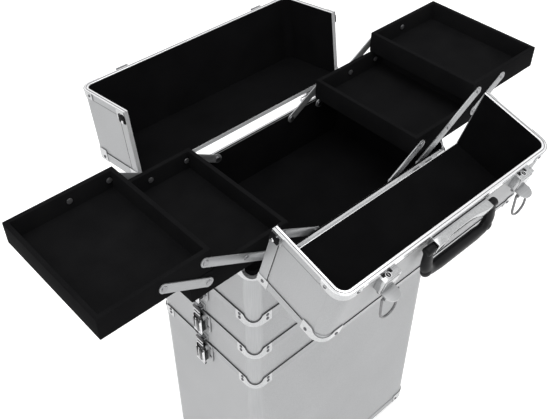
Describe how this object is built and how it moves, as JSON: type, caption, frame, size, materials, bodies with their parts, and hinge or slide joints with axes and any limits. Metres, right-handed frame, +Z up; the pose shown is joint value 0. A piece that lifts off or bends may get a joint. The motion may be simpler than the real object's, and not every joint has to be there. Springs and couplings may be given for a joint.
{
  "type": "rolling makeup case",
  "caption": "Tall stacking makeup case on wheels with open half lids, cantilever trays on folding arms, draw latches, a carry handle, lid locks and a pull handle.",
  "frame": {"origin": "on the floor under the middle of the case", "axes": "+X along the case's length to its right end, front towards -Y, +Z up"},
  "size_m": [0.738, 0.4877, 0.7154],
  "materials": {
    "panel": "satin silver laminate with a fine texture",
    "post": "satin anodised",
    "trim": "bright brushed",
    "bracket": "bright polished",
    "lining": "black velvet",
    "tray": "black flocked board",
    "arm": "brushed",
    "hardware": "polished",
    "pin": "turned",
    "black_plastic": "satin black",
    "button": "satin grey",
    "rubber": "matt black",
    "wheel": "matt black"
  },
  "bodies": {
    "case": {"bin_panels": "panel", "lower_section_panels": "panel", "upper_section_panels": "panel", "top_panels": "panel", "corner_posts": "post", "edge_profiles": "trim", "corner_brackets": "bracket", "case_linings": "lining", "end_latch_plates": "hardware", "body_hinge_leaves": "hardware", "pivot_pins": "pin", "wheel_housings": "black_plastic", "wheel_axles": "pin", "front_feet": "rubber", "pull_handle_guides": "hardware"},
    "front_lid": {"front_lid_panels": "panel", "front_lid_profiles": "trim", "front_lid_corners": "bracket", "front_lid_lining": "lining", "front_lid_hinge_leaves": "hardware", "carry_handle_plate": "hardware", "lid_lock_bases": "hardware"},
    "rear_lid": {"rear_lid_panels": "panel", "rear_lid_profiles": "trim", "rear_lid_corners": "bracket", "rear_lid_lining": "lining", "rear_lid_hinge_leaves": "hardware", "lid_lock_catches": "hardware"},
    "carry_handle": {"carry_handle_grip": "black_plastic"},
    "left_lock_lever": {"left_lock_lever": "hardware"},
    "left_lock_bail": {"left_lock_bail": "hardware"},
    "right_lock_lever": {"right_lock_lever": "hardware"},
    "right_lock_bail": {"right_lock_bail": "hardware"},
    "left_long_arms": {"left_long_arms": "arm"},
    "left_lower_tray": {"left_lower_tray": "tray"},
    "left_upper_tray": {"left_upper_tray": "tray"},
    "left_body_arms": {"left_body_arms": "arm"},
    "left_tray_arms": {"left_tray_arms": "arm"},
    "right_long_arms": {"right_long_arms": "arm"},
    "right_lower_tray": {"right_lower_tray": "tray"},
    "right_upper_tray": {"right_upper_tray": "tray"},
    "right_body_arms": {"right_body_arms": "arm"},
    "right_tray_arms": {"right_tray_arms": "arm"},
    "left_latch_lever_1": {"left_latch_lever_1": "hardware"},
    "left_latch_claw_1": {"left_latch_claw_1": "hardware"},
    "left_latch_lever_2": {"left_latch_lever_2": "hardware"},
    "left_latch_claw_2": {"left_latch_claw_2": "hardware"},
    "left_latch_lever_3": {"left_latch_lever_3": "hardware"},
    "left_latch_claw_3": {"left_latch_claw_3": "hardware"},
    "right_latch_lever_1": {"right_latch_lever_1": "hardware"},
    "right_latch_claw_1": {"right_latch_claw_1": "hardware"},
    "right_latch_lever_2": {"right_latch_lever_2": "hardware"},
    "right_latch_claw_2": {"right_latch_claw_2": "hardware"},
    "right_latch_lever_3": {"right_latch_lever_3": "hardware"},
    "right_latch_claw_3": {"right_latch_claw_3": "hardware"},
    "left_wheel": {"left_wheel": "wheel"},
    "right_wheel": {"right_wheel": "wheel"},
    "pull_handle": {"pull_handle_tubes": "hardware", "pull_handle_grip": "black_plastic"},
    "pull_handle_button": {"pull_handle_button": "button"}
  },
  "joints": [
    {"name": "front_lid_hinge", "type": "hinge", "parent": "case", "child": "front_lid", "pos_m": [0, -0.11, 0.607], "axis": [-1, 0, 0], "range_deg": [0, 30]},
    {"name": "rear_lid_hinge", "type": "hinge", "parent": "case", "child": "rear_lid", "pos_m": [0, 0.11, 0.607], "axis": [1, 0, 0], "range_deg": [0, 23]},
    {"name": "carry_handle_swing", "type": "hinge", "parent": "front_lid", "child": "carry_handle", "pos_m": [0.008, -0.24238, 0.66524], "axis": [-1, 0, 0], "range_deg": [-12, 100]},
    {"name": "left_lock_lever_swing", "type": "hinge", "parent": "front_lid", "child": "left_lock_lever", "pos_m": [-0.111, -0.2368, 0.64941], "axis": [-1, 0, 0], "range_deg": [-85, 5]},
    {"name": "left_lock_bail_swing", "type": "hinge", "parent": "left_lock_lever", "child": "left_lock_bail", "pos_m": [-0.111, -0.24502, 0.64556], "axis": [-1, 0, 0], "range_deg": [-5, 85]},
    {"name": "right_lock_lever_swing", "type": "hinge", "parent": "front_lid", "child": "right_lock_lever", "pos_m": [0.127, -0.2368, 0.64941], "axis": [-1, 0, 0], "range_deg": [-85, 5]},
    {"name": "right_lock_bail_swing", "type": "hinge", "parent": "right_lock_lever", "child": "right_lock_bail", "pos_m": [0.127, -0.24502, 0.64556], "axis": [-1, 0, 0], "range_deg": [-5, 85]},
    {"name": "left_trays_fold", "type": "hinge", "parent": "case", "child": "left_long_arms", "pos_m": [-0.124, 0, 0.601], "axis": [0, 1, 0], "range_deg": [0, 120.5]},
    {"name": "left_lower_tray_level", "type": "hinge", "parent": "left_long_arms", "child": "left_lower_tray", "pos_m": [-0.18, 0, 0.633], "axis": [0, 1, 0], "range_deg": [-120.5, 0]},
    {"name": "left_upper_tray_level", "type": "hinge", "parent": "left_long_arms", "child": "left_upper_tray", "pos_m": [-0.236, 0, 0.665], "axis": [0, 1, 0], "range_deg": [-120.5, 0]},
    {"name": "left_body_arms_turn", "type": "hinge", "parent": "case", "child": "left_body_arms", "pos_m": [-0.068, 0, 0.601], "axis": [0, 1, 0], "range_deg": [0, 120.5]},
    {"name": "left_tray_arms_turn", "type": "hinge", "parent": "left_lower_tray", "child": "left_tray_arms", "pos_m": [-0.234, 0, 0.633], "axis": [0, 1, 0], "range_deg": [0, 120.5]},
    {"name": "right_trays_fold", "type": "hinge", "parent": "case", "child": "right_long_arms", "pos_m": [0.124, 0, 0.601], "axis": [0, -1, 0], "range_deg": [0, 120.5]},
    {"name": "right_lower_tray_level", "type": "hinge", "parent": "right_long_arms", "child": "right_lower_tray", "pos_m": [0.18, 0, 0.633], "axis": [0, -1, 0], "range_deg": [-120.5, 0]},
    {"name": "right_upper_tray_level", "type": "hinge", "parent": "right_long_arms", "child": "right_upper_tray", "pos_m": [0.236, 0, 0.665], "axis": [0, -1, 0], "range_deg": [-120.5, 0]},
    {"name": "right_body_arms_turn", "type": "hinge", "parent": "case", "child": "right_body_arms", "pos_m": [0.068, 0, 0.601], "axis": [0, -1, 0], "range_deg": [0, 120.5]},
    {"name": "right_tray_arms_turn", "type": "hinge", "parent": "right_lower_tray", "child": "right_tray_arms", "pos_m": [0.234, 0, 0.633], "axis": [0, -1, 0], "range_deg": [0, 120.5]},
    {"name": "left_latch_lever_1_swing", "type": "hinge", "parent": "case", "child": "left_latch_lever_1", "pos_m": [-0.18405, 0.003, 0.389], "axis": [0, 1, 0], "range_deg": [0, 95]},
    {"name": "left_latch_claw_1_level", "type": "hinge", "parent": "left_latch_lever_1", "child": "left_latch_claw_1", "pos_m": [-0.18685, 0.003, 0.382], "axis": [0, 1, 0], "range_deg": [-95, 0]},
    {"name": "left_latch_lever_2_swing", "type": "hinge", "parent": "case", "child": "left_latch_lever_2", "pos_m": [-0.18405, 0.003, 0.454], "axis": [0, 1, 0], "range_deg": [0, 95]},
    {"name": "left_latch_claw_2_level", "type": "hinge", "parent": "left_latch_lever_2", "child": "left_latch_claw_2", "pos_m": [-0.18685, 0.003, 0.447], "axis": [0, 1, 0], "range_deg": [-95, 0]},
    {"name": "left_latch_lever_3_swing", "type": "hinge", "parent": "case", "child": "left_latch_lever_3", "pos_m": [-0.18405, 0.003, 0.519], "axis": [0, 1, 0], "range_deg": [0, 95]},
    {"name": "left_latch_claw_3_level", "type": "hinge", "parent": "left_latch_lever_3", "child": "left_latch_claw_3", "pos_m": [-0.18685, 0.003, 0.512], "axis": [0, 1, 0], "range_deg": [-95, 0]},
    {"name": "right_latch_lever_1_swing", "type": "hinge", "parent": "case", "child": "right_latch_lever_1", "pos_m": [0.18405, 0.003, 0.389], "axis": [0, -1, 0], "range_deg": [0, 95]},
    {"name": "right_latch_claw_1_level", "type": "hinge", "parent": "right_latch_lever_1", "child": "right_latch_claw_1", "pos_m": [0.18685, 0.003, 0.382], "axis": [0, -1, 0], "range_deg": [-95, 0]},
    {"name": "right_latch_lever_2_swing", "type": "hinge", "parent": "case", "child": "right_latch_lever_2", "pos_m": [0.18405, 0.003, 0.454], "axis": [0, -1, 0], "range_deg": [0, 95]},
    {"name": "right_latch_claw_2_level", "type": "hinge", "parent": "right_latch_lever_2", "child": "right_latch_claw_2", "pos_m": [0.18685, 0.003, 0.447], "axis": [0, -1, 0], "range_deg": [-95, 0]},
    {"name": "right_latch_lever_3_swing", "type": "hinge", "parent": "case", "child": "right_latch_lever_3", "pos_m": [0.18405, 0.003, 0.519], "axis": [0, -1, 0], "range_deg": [0, 95]},
    {"name": "right_latch_claw_3_level", "type": "hinge", "parent": "right_latch_lever_3", "child": "right_latch_claw_3", "pos_m": [0.18685, 0.003, 0.512], "axis": [0, -1, 0], "range_deg": [-95, 0]},
    {"name": "left_wheel_spin", "type": "hinge", "parent": "case", "child": "left_wheel", "pos_m": [-0.136, 0.089, 0.025], "axis": [1, 0, 0], "continuous": true},
    {"name": "right_wheel_spin", "type": "hinge", "parent": "case", "child": "right_wheel", "pos_m": [0.136, 0.089, 0.025], "axis": [1, 0, 0], "continuous": true},
    {"name": "pull_handle_slide", "type": "slide", "parent": "case", "child": "pull_handle", "axis": [0, 0, 1], "range_m": [0, 0.18]},
    {"name": "pull_handle_button_press", "type": "slide", "parent": "pull_handle", "child": "pull_handle_button", "axis": [0, 0, -1], "range_m": [0, 0.0025], "stiffness_N_per_m": 800}
  ],
  "couplings": [
    {"joint": "left_lock_bail_swing", "follows": "left_lock_lever_swing", "ratio": -1},
    {"joint": "right_lock_bail_swing", "follows": "right_lock_lever_swing", "ratio": -1},
    {"joint": "left_lower_tray_level", "follows": "left_trays_fold", "ratio": -1},
    {"joint": "left_upper_tray_level", "follows": "left_trays_fold", "ratio": -1},
    {"joint": "left_body_arms_turn", "follows": "left_trays_fold", "ratio": 1},
    {"joint": "left_tray_arms_turn", "follows": "left_trays_fold", "ratio": 1},
    {"joint": "right_lower_tray_level", "follows": "right_trays_fold", "ratio": -1},
    {"joint": "right_upper_tray_level", "follows": "right_trays_fold", "ratio": -1},
    {"joint": "right_body_arms_turn", "follows": "right_trays_fold", "ratio": 1},
    {"joint": "right_tray_arms_turn", "follows": "right_trays_fold", "ratio": 1},
    {"joint": "left_latch_claw_1_level", "follows": "left_latch_lever_1_swing", "ratio": -1},
    {"joint": "left_latch_claw_2_level", "follows": "left_latch_lever_2_swing", "ratio": -1},
    {"joint": "left_latch_claw_3_level", "follows": "left_latch_lever_3_swing", "ratio": -1},
    {"joint": "right_latch_claw_1_level", "follows": "right_latch_lever_1_swing", "ratio": -1},
    {"joint": "right_latch_claw_2_level", "follows": "right_latch_lever_2_swing", "ratio": -1},
    {"joint": "right_latch_claw_3_level", "follows": "right_latch_lever_3_swing", "ratio": -1}
  ]
}
